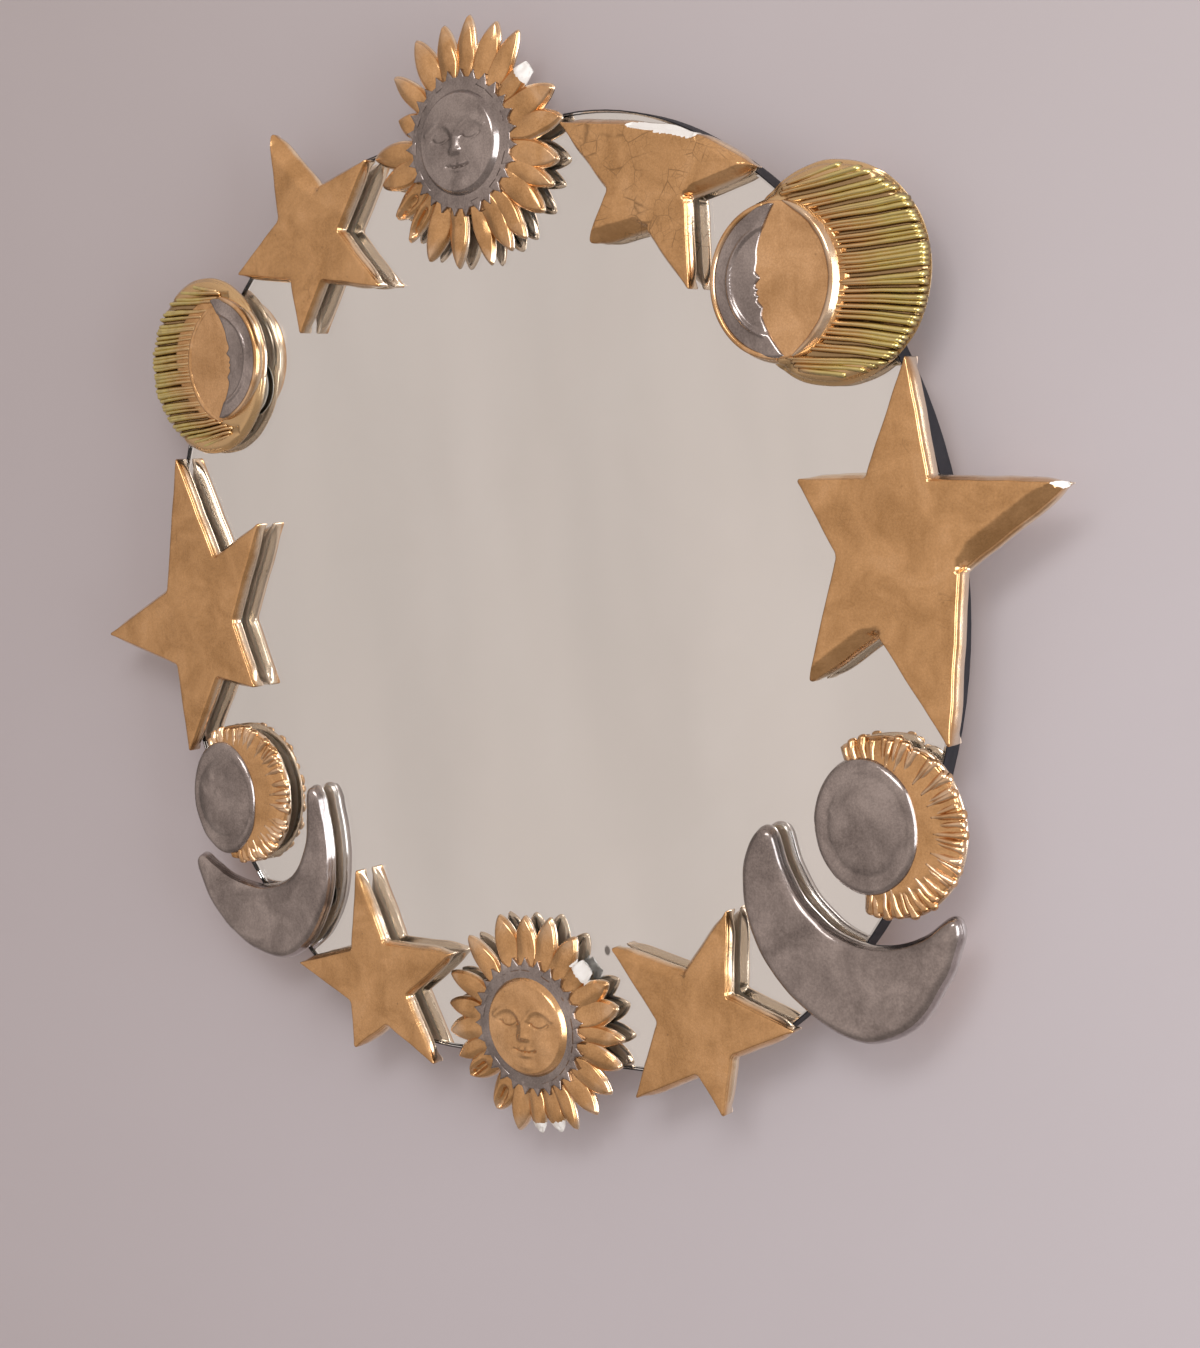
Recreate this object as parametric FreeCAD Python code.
"""Round wall mirror with glazed ceramic suns, moons and stars glued round its rim.

Millimetres, +Z up, the mirror faces -Y. Everything is laid out about the centre of the
glass, with y = 0 on the front of the glass, and moved at the end so that the origin is
the point of the hanger's ring where a wall hook carries the mirror.
"""

import FreeCAD
import Part
import math
import os
from FreeCAD import Vector

# Glass, backing and edge
GLASS_R = 300.0
GLASS_RISE = 1.5
TOP_FLAT_Z = 283.0
BOTTOM_FLAT_Z = -276.0
FLAT_CORNER_R = 180.0
GLASS_T = 4.0
ARRIS = 0.8
COAT_T = 0.3
MASTIC_T = 1.0
MASTIC_R = 38.0
MASTIC_RING_R = 175.0
MASTIC_RING_COUNT = 6
BOARD_T = 9.0
BAND_T = 0.8
BAND_GAP = 0.05
BOARD_FRONT_Y = GLASS_T + COAT_T + MASTIC_T
BACK_Y = BOARD_FRONT_Y + BOARD_T

# Hanger at the top of the back
HANGER_Z = 232.0
WIRE_R = 2.0
RING_R = 13.0
RING_LEG = 6.0
RING_LEAN = 4.0
STRAP_W = 16.0
STRAP_LEN = 50.0
STRAP_END_R = 7.5
STRAP_T = 1.4
LOOP_T = 1.5
LOOP_CLEARANCE = 0.3
LOOP_R = WIRE_R + LOOP_CLEARANCE + LOOP_T
PIVOT = Vector(0.0, BACK_Y + LOOP_R, HANGER_Z)
SCREW_DROPS = (11.0, 38.0)
SCREW_R = 1.9
SCREW_HOLE_R = 1.95
STRAP_HOLE_R = 2.2
SCREW_HOLE_DEPTH = 8.0
SCREW_TIP_GAP = 0.5
SCREW_HEAD_R = 3.8
SCREW_HEAD_T = 2.2
SCREW_CROWN_R = 2.3
SLOT_W = 0.9
SLOT_DEPTH = 1.0

# Rubber bumpers that keep the lower edge off the wall
BUMPER_R = 10.0
BUMPER_T = 11.0
BUMPER_CHAMFER = 1.5
BUMPER_X = 150.0
BUMPER_Z = -205.0

# Glue dabs between ceramic and glass: centre x, z and radius of each
GLUE_T = 0.8
GLUE_DABS = (
    (-7, 258, 18), (-7, -245, 20),
    (-264, 2, 21), (268, 22, 22),
    (-133, 232, 14), (127, 230, 14),
    (-126, -230, 14), (119, -233, 14),
    (-215, 153, 20), (215, 153, 20),
    (-240, -113, 18), (237, -116, 18),
    (-186, -183, 11), (185, -184, 12),
)

# Stars: thickness, then x and z of every arm tip and notch in turn, clockwise from the top
STAR_EDGE_R = 2.2
STAR_TIP_R = 3.0
STARS = {
    "star_right": (15.0, (
        (286.5, 125), (295.5, 59.5), (373, 53), (310, 13), (298.5, -80.5),
        (258.5, -19), (213.5, -46), (237, 23), (215, 65), (257.5, 62.5))),
    "star_left": (11.0, (
        (-279.5, 111), (-250, 41.5), (-204.5, 63), (-237.5, -1), (-221, -46),
        (-257, -38), (-291, -90), (-296, -29), (-364, -7), (-300, 21))),
    "star_upper_left": (11.0, (
        (-166.5, 309), (-128.5, 268), (-83, 280), (-112.5, 240), (-80.5, 201.5),
        (-129.5, 211.5), (-152.5, 179), (-158, 215), (-206, 223.5), (-164, 253.5))),
    "star_lower_right": (11.0, (
        (148, -173), (143, -224), (189, -240), (144.5, -258), (136, -295.5),
        (119, -271.5), (72.5, -291), (93, -243), (61.5, -200.5), (114, -213.5))),
    "star_lower_left": (11.0, (
        (-141.5, -163), (-122, -211), (-63.5, -213.5), (-106, -243), (-85.5, -286.5),
        (-125, -264), (-156, -282.5), (-156, -251), (-202, -228.5), (-152, -217))),
}
# This star has lost its top arm: the break runs between its last two corners
BROKEN_STAR_T = 11.0
BROKEN_STAR = (
    (200, 233), (152, 224), (151, 172), (123.5, 210.5), (81.5, 206.5),
    (99, 235.5), (67.5, 278), (117, 268.5), (159, 258))
BREAK_CORNERS = (7, 8)

# Suns: centre x, z and reach of the petals of each; a toothed collar and a domed face
SUNS = {"sun_top": (-7.5, 277.5, 74.5), "sun_bottom": (-6.5, -255, 70.5)}
PETALS = 22
PETAL_FIRST = 1.5
PETAL_ROOT_R = 32.0
PETAL_HALF_W = 7.6
PETAL_T = 8.0
PETAL_EDGE = 2.2
SUN_DISC_R = 44.0
SUN_DISC_T = 7.0
COLLAR_TEETH = 27
COLLAR_TIP_R = 42.0
COLLAR_ROOT_R = 37.5
COLLAR_TOP = 9.5
FACE_R = 33.0
FACE_TOP = 17.0

# Eclipses: centre of the ribbed disc, its radius, then centre x of the moon's outer
# edge and of the rim that closes the gold lens, both on the disc's level
ECLIPSES = {
    "eclipse_right": (239, 171.5, 59.5, 209, 201),
    "eclipse_left": (-240, 168.5, 58.0, -231, -216),
}
LENS_R = 44.0
ECLIPSE_DISC_T = 7.0
RIBS = 28
RIB_H = 2.4
LENS_TOP = 10.5
CRESCENT_TOP = 13.0
CRESCENT_SHIFT = 30.0
RIM_BEAD_R = 2.2

# Moons: a domed silver disc with a fan of short rays over its right side
MOONS = {"moon_right": (249.5, -124), "moon_left": (-250, -117.5)}
MOON_CENTRE = (-6, 0)
MOON_R = 36.5
MOON_T = 9.0
MOON_DOME = 3.0
MOON_DOME_R = 34.5
DOME_ROOT = 0.5
RAY_BAND_R = 44.0
RAY_BAND_T = 7.0
RAYS = 33
RAY_FIRST = -103.0
RAY_LAST = 115.0
RAY_ROOT_R = 32.0
RAY_TIP_R = 51.0
RAY_ROOT_HALF = 1.7
RAY_TIP_HALF = 2.5
RAY_LIFT = 5.5

# Crescents: x and z of points on the outline, round the outside from one horn to the
# other and back along the inside
CRESCENTS = {
    "crescent_right": (
        (182.5, -131), (177, -126), (170, -128.5), (163.5, -138), (159, -155),
        (160.5, -178), (172, -204), (196, -228), (231, -243), (264, -231),
        (285, -205), (293.5, -186), (295.8, -177), (293, -171.2), (286.5, -172.3),
        (272, -182.5), (248, -189.5), (221, -185), (200, -169), (187.5, -149)),
    "crescent_left": (
        (-285.5, -160.5), (-290.8, -160.3), (-293.4, -165.5), (-291, -175), (-281.5, -193.5),
        (-264, -211), (-240, -223.5), (-213, -226), (-189, -211.5), (-172, -186),
        (-166, -154), (-168.5, -126), (-170.5, -117), (-174.4, -111.3), (-180.3, -112.2),
        (-182.6, -119), (-184, -132), (-187.5, -149), (-203, -171), (-231, -179.5),
        (-261, -174), (-276, -166.5)),
}
CRESCENT_CURVES = 4
CRESCENT_T = 12.0
CRESCENT_EDGE_R = 2.5

FORWARD = Vector(0, -1, 0)
BACKWARD = Vector(0, 1, 0)
GLUE_Y = -GLUE_T
MIDDLE = (0, 0)


def polar(centre, radius, degrees, y=0.0):
    """Point at a radius and angle from a centre, in the plane of the glass."""
    angle = math.radians(degrees)
    return Vector(centre[0] + radius * math.cos(angle), y, centre[1] + radius * math.sin(angle))


def disc(centre, radius, y_from, y_to):
    """Cylinder along Y between two depths."""
    return Part.makeCylinder(radius, y_to - y_from, Vector(centre[0], y_from, centre[1]), BACKWARD)


def prism(points, y_front):
    """Closed outline on the glue's level, raised forward to y_front."""
    face = Part.Face(Part.makePolygon(points + points[:1]))
    return face.extrude(FORWARD * (points[0].y - y_front))


def along_y(edge):
    """True for an edge that runs straight through a plate's thickness."""
    ends = [vertex.Point for vertex in edge.Vertexes]
    return len(ends) == 2 and abs(abs((ends[1] - ends[0]).normalize().y) - 1.0) < 1e-6


def edges_at(shape, y):
    """Edges that lie wholly at one depth."""
    return [e for e in shape.Edges if abs(e.BoundBox.YMin - y) < 1e-4 and abs(e.BoundBox.YMax - y) < 1e-4]


def fused(pieces):
    """One solid of overlapping pieces."""
    return pieces[0].multiFuse(pieces[1:]).removeSplitter()


def rim_plate(grow, y_from, y_to):
    """Round plate with its top and bottom cut straight and the corners eased."""
    plate = disc((0, GLASS_RISE), GLASS_R + grow, y_from, y_to)
    height = TOP_FLAT_Z - BOTTOM_FLAT_Z + 2 * grow
    corner = Vector(-2 * GLASS_R, y_from, BOTTOM_FLAT_Z - grow)
    plate = plate.common(Part.makeBox(4 * GLASS_R, y_to - y_from, height, corner))
    corners = [e for e in plate.Edges if along_y(e) and abs(e.CenterOfMass.z) > GLASS_R / 2]
    return plate.makeFillet(FLAT_CORNER_R + grow, corners)


def mirror_glass():
    """Float glass with a small ground arris round its front."""
    plate = rim_plate(0.0, 0.0, GLASS_T)
    return plate.makeChamfer(ARRIS, edges_at(plate, 0.0))


def mirror_coat():
    """Silvering and its paint on the back of the glass."""
    return rim_plate(-ARRIS, GLASS_T, GLASS_T + COAT_T)


def mirror_mastic():
    """Dabs of mastic that hold the glass to the board."""
    centres = [MIDDLE]
    for i in range(MASTIC_RING_COUNT):
        point = polar(MIDDLE, MASTIC_RING_R, 360.0 * i / MASTIC_RING_COUNT)
        centres.append((point.x, point.z))
    return Part.makeCompound([disc(c, MASTIC_R, GLASS_T + COAT_T, BOARD_FRONT_Y) for c in centres])


def screw_places():
    """Points of the two hanger screws on the back of the board."""
    return [Vector(0.0, BACK_Y, HANGER_Z - drop) for drop in SCREW_DROPS]


def backing_board():
    """Board behind the glass, drilled for the hanger's screws."""
    board = rim_plate(0.0, BOARD_FRONT_Y, BACK_Y)
    for place in screw_places():
        board = board.cut(Part.makeCylinder(SCREW_HOLE_R, SCREW_HOLE_DEPTH, place, FORWARD))
    return board


def edge_band():
    """Black edging round the glass and the board."""
    outer = rim_plate(BAND_T, ARRIS, BACK_Y)
    return outer.cut(rim_plate(BAND_GAP, 0.0, BACK_Y + BAND_T))


def hanger_strap():
    """Steel strap, rolled round the ring's bar at its top end."""
    corner = Vector(-STRAP_W / 2, BACK_Y, HANGER_Z - STRAP_LEN)
    strap = Part.makeBox(STRAP_W, STRAP_T, STRAP_LEN, corner)
    loop_start = PIVOT - Vector(STRAP_W / 2, 0, 0)
    along = Vector(1, 0, 0)
    strap = strap.fuse(Part.makeCylinder(LOOP_R, STRAP_W, loop_start, along))
    strap = strap.cut(Part.makeCylinder(WIRE_R + LOOP_CLEARANCE, STRAP_W, loop_start, along))
    for place in screw_places():
        strap = strap.cut(Part.makeCylinder(STRAP_HOLE_R, STRAP_T, place, BACKWARD))
    end_z = HANGER_Z - STRAP_LEN
    corners = [e for e in strap.Edges if along_y(e) and e.BoundBox.ZMax < end_z + STRAP_T]
    return strap.makeFillet(STRAP_END_R, corners)


def hanger_ring():
    """D-shaped wire ring, leaning against its stop towards the board."""
    centre = PIVOT + Vector(0, 0, RING_LEG)
    arch = Part.makeTorus(RING_R, WIRE_R, Vector(0, 0, 0), Vector(0, 0, 1), -180, 180, 180)
    arch.rotate(Vector(0, 0, 0), Vector(1, 0, 0), 90)
    arch.translate(centre)
    pieces = [arch]
    for side in (-1, 1):
        foot = PIVOT + Vector(side * RING_R, 0, 0)
        pieces.append(Part.makeCylinder(WIRE_R, RING_LEG, foot, Vector(0, 0, 1)))
        pieces.append(Part.makeSphere(WIRE_R, foot))
    bar_start = PIVOT - Vector(RING_R, 0, 0)
    pieces.append(Part.makeCylinder(WIRE_R, 2 * RING_R, bar_start, Vector(1, 0, 0)))
    ring = fused(pieces)
    ring.rotate(PIVOT, Vector(1, 0, 0), RING_LEAN)
    return ring


def hanger_screws():
    """Two slotted screws through the strap into the board."""
    screws = []
    for place in screw_places():
        shank_start = place + BACKWARD * STRAP_T
        length = STRAP_T + SCREW_HOLE_DEPTH - SCREW_TIP_GAP
        shank = Part.makeCylinder(SCREW_R, length, shank_start, FORWARD)
        head = Part.makeCone(SCREW_HEAD_R, SCREW_CROWN_R, SCREW_HEAD_T, shank_start, BACKWARD)
        slot_corner = shank_start + Vector(-SCREW_HEAD_R, SCREW_HEAD_T - SLOT_DEPTH, -SLOT_W / 2)
        slot = Part.makeBox(2 * SCREW_HEAD_R, SLOT_DEPTH, SLOT_W, slot_corner)
        screws.append(shank.fuse(head).cut(slot))
    return Part.makeCompound(screws)


def wall_bumpers():
    """Two rubber buttons near the bottom of the board."""
    bumpers = []
    for side in (-1, 1):
        button = disc((side * BUMPER_X, BUMPER_Z), BUMPER_R, BACK_Y, BACK_Y + BUMPER_T)
        bumpers.append(button.makeChamfer(BUMPER_CHAMFER, edges_at(button, BACK_Y + BUMPER_T)))
    return Part.makeCompound(bumpers)


def ornament_glue():
    """A dab of glue under each piece of ceramic."""
    return Part.makeCompound([disc((x, z), r, GLUE_Y, 0.0) for x, z, r in GLUE_DABS])


def lengthened(points, i):
    """Corner i moved outwards by what rounding takes off its tip; notches stay."""
    tip = points[i]
    one = (points[i - 1] - tip).normalize()
    other = (points[(i + 1) % len(points)] - tip).normalize()
    half = one.getAngle(other) / 2
    turn = (tip - points[i - 1]).cross(points[(i + 1) % len(points)] - tip).y
    loss = STAR_TIP_R * (1 / math.sin(half) - 1)
    return tip - (one + other).normalize() * loss if turn > 0 else tip


def star(thickness, corners, sharp=()):
    """Flat star with softened tips, notches and front edge; sharp corners stay as broken."""
    marks = [Vector(x, GLUE_Y, z) for x, z in corners]
    points = [mark if i in sharp else lengthened(marks, i) for i, mark in enumerate(marks)]
    body = prism(points, -thickness)
    broken = [points[i] for i in sharp]
    soft = [e for e in body.Edges if along_y(e)
            and min([e.CenterOfMass.distanceToPoint(p) for p in broken] or [1e9]) > thickness]
    body = body.makeFillet(STAR_TIP_R, soft)
    return body.makeFillet(STAR_EDGE_R, edges_at(body, -thickness))


def petal(degrees, reach):
    """Leaf-shaped petal with a bevelled front."""
    middle_r = (PETAL_ROOT_R + reach) / 2
    lean = math.degrees(math.atan2(PETAL_HALF_W, middle_r))
    middle = math.hypot(middle_r, PETAL_HALF_W)
    root = polar(MIDDLE, PETAL_ROOT_R, degrees, GLUE_Y)
    tip = polar(MIDDLE, reach, degrees, GLUE_Y)
    bulges = [polar(MIDDLE, middle, degrees + side * lean, GLUE_Y) for side in (-1, 1)]
    sides = [Part.Arc(root, bulge, tip).toShape() for bulge in bulges]
    leaf = Part.Face(Part.Wire(Part.__sortEdges__(sides))).extrude(FORWARD * (PETAL_T - GLUE_T))
    return leaf.makeChamfer(PETAL_EDGE, edges_at(leaf, -PETAL_T))


def dome(radius, y_base, y_top):
    """Cap of a sphere that stands forward of y_base."""
    rise = y_base - y_top
    ball_r = (radius ** 2 + rise ** 2) / (2 * rise)
    ball = Part.makeSphere(ball_r, Vector(0, y_top + ball_r, 0))
    return ball.common(disc(MIDDLE, ball_r + 1.0, y_top - 1.0, y_base))


def sun(reach):
    """Petals, toothed collar and plain domed face in one piece of ceramic."""
    pieces = [disc(MIDDLE, SUN_DISC_R, -SUN_DISC_T, GLUE_Y)]
    pieces += [petal(PETAL_FIRST + 360.0 * i / PETALS, reach) for i in range(PETALS)]
    corners = []
    for i in range(2 * COLLAR_TEETH):
        radius = COLLAR_ROOT_R if i % 2 else COLLAR_TIP_R
        corners.append(polar(MIDDLE, radius, 180.0 * i / COLLAR_TEETH, GLUE_Y))
    pieces.append(prism(corners, -COLLAR_TOP))
    pieces.append(dome(FACE_R, -COLLAR_TOP + DOME_ROOT, -FACE_TOP))
    return fused(pieces)


def ribbed_slab(x, z, radius):
    """Slab whose front is folded into ribs that run along X."""
    pitch = 2 * radius / RIBS
    floor = -ECLIPSE_DISC_T
    points = [Vector(x - radius, GLUE_Y, z - radius)]
    for i in range(RIBS):
        points.append(Vector(x - radius, floor, z - radius + i * pitch))
        points.append(Vector(x - radius, floor - RIB_H, z - radius + (i + 0.5) * pitch))
    points.append(Vector(x - radius, floor, z + radius))
    points.append(Vector(x - radius, GLUE_Y, z + radius))
    face = Part.Face(Part.makePolygon(points + points[:1]))
    return face.extrude(Vector(2 * radius, 0, 0))


def eclipse(x, z, radius, moon_x, rim_x):
    """Ribbed disc with a raised lens, and a crescent moon on one side of the lens."""
    slab = ribbed_slab(x, z, radius).common(disc((x, z), radius, -LENS_TOP, GLUE_Y))
    lens = disc((moon_x, z), LENS_R, -LENS_TOP, GLUE_Y).common(disc((rim_x, z), LENS_R, -LENS_TOP, GLUE_Y))
    moon = disc((moon_x, z), LENS_R, -CRESCENT_TOP, GLUE_Y)
    moon = moon.common(disc((rim_x, z), LENS_R, -CRESCENT_TOP, GLUE_Y))
    inward = math.copysign(CRESCENT_SHIFT, x)
    moon = moon.cut(disc((moon_x + inward, z), LENS_R, -CRESCENT_TOP, GLUE_Y))
    bead = Part.makeTorus(LENS_R - RIM_BEAD_R, RIM_BEAD_R, Vector(rim_x, -LENS_TOP, z), BACKWARD)
    bead = bead.common(disc((moon_x, z), LENS_R, -CRESCENT_TOP, GLUE_Y))
    return fused([slab, lens, moon, bead])


def moon():
    """Domed disc with a band of flared rays round its right side."""
    pieces = [disc(MOON_CENTRE, MOON_R, -MOON_T, GLUE_Y)]
    cap = dome(MOON_DOME_R, -MOON_T + DOME_ROOT, -MOON_T - MOON_DOME)
    pieces.append(cap.translated(Vector(MOON_CENTRE[0], 0, MOON_CENTRE[1])))
    band = disc(MIDDLE, RAY_BAND_R, -RAY_BAND_T, GLUE_Y)
    span = [polar(MIDDLE, 2 * RAY_BAND_R, a, GLUE_Y) for a in (RAY_FIRST, -40.0, 50.0, RAY_LAST)]
    pieces.append(band.common(prism([Vector(0, GLUE_Y, 0)] + span, -RAY_BAND_T)))
    for i in range(RAYS):
        degrees = RAY_FIRST + (RAY_LAST - RAY_FIRST) * i / (RAYS - 1)
        root = polar(MIDDLE, RAY_ROOT_R, degrees, -RAY_LIFT)
        way = polar(MIDDLE, 1.0, degrees)
        pieces.append(Part.makeCone(RAY_ROOT_HALF, RAY_TIP_HALF, RAY_TIP_R - RAY_ROOT_R, root, way))
    return fused(pieces)


def crescent(outline):
    """Pillowy hand-cut crescent with blunt horns."""
    curve = Part.BSplineCurve()
    curve.interpolate(Points=[Vector(x, GLUE_Y, z) for x, z in outline], PeriodicFlag=True)
    share = (curve.LastParameter - curve.FirstParameter) / CRESCENT_CURVES
    starts = [curve.FirstParameter + i * share for i in range(CRESCENT_CURVES)]
    face = Part.Face(Part.Wire([curve.toShape(start, start + share) for start in starts]))
    body = face.extrude(FORWARD * (CRESCENT_T - GLUE_T))
    return body.makeFillet(CRESCENT_EDGE_R, edges_at(body, -CRESCENT_T))


def placed(shape, x, z):
    """Shape moved to its place on the glass."""
    return shape.translated(Vector(x, 0, z))


def hook_point():
    """Inside top of the ring, where the wall hook carries the mirror."""
    reach = RING_LEG + RING_R - WIRE_R
    lean = math.radians(RING_LEAN)
    return PIVOT + Vector(0, -reach * math.sin(lean), reach * math.cos(lean))


def build():
    """Every piece of the mirror, by name."""
    parts = {
        "mirror_glass": mirror_glass(),
        "mirror_coat": mirror_coat(),
        "mirror_mastic": mirror_mastic(),
        "backing_board": backing_board(),
        "edge_band": edge_band(),
        "ornament_glue": ornament_glue(),
        "hanger_strap": hanger_strap(),
        "hanger_ring": hanger_ring(),
        "hanger_screws": hanger_screws(),
        "wall_bumpers": wall_bumpers(),
        "star_upper_right": star(BROKEN_STAR_T, BROKEN_STAR, BREAK_CORNERS),
    }
    for name, (thickness, corners) in STARS.items():
        parts[name] = star(thickness, corners)
    for name, (x, z, reach) in SUNS.items():
        parts[name] = placed(sun(reach), x, z)
    for name, (x, z) in MOONS.items():
        parts[name] = placed(moon(), x, z)
    for name, sizes in ECLIPSES.items():
        parts[name] = eclipse(*sizes)
    for name, outline in CRESCENTS.items():
        parts[name] = crescent(outline)
    return parts


def main():
    """Move the mirror to its hook point and write one STEP file per piece."""
    os.makedirs("parts", exist_ok=True)
    hook = hook_point()
    print("hook point from the glass centre", hook)
    for name, shape in build().items():
        shape.translate(-hook)
        state = "valid" if shape.isValid() else "INVALID"
        print(name, state, len(shape.Solids), "solids", round(shape.Volume))
        shape.exportStep("parts/%s.step" % name)


main()
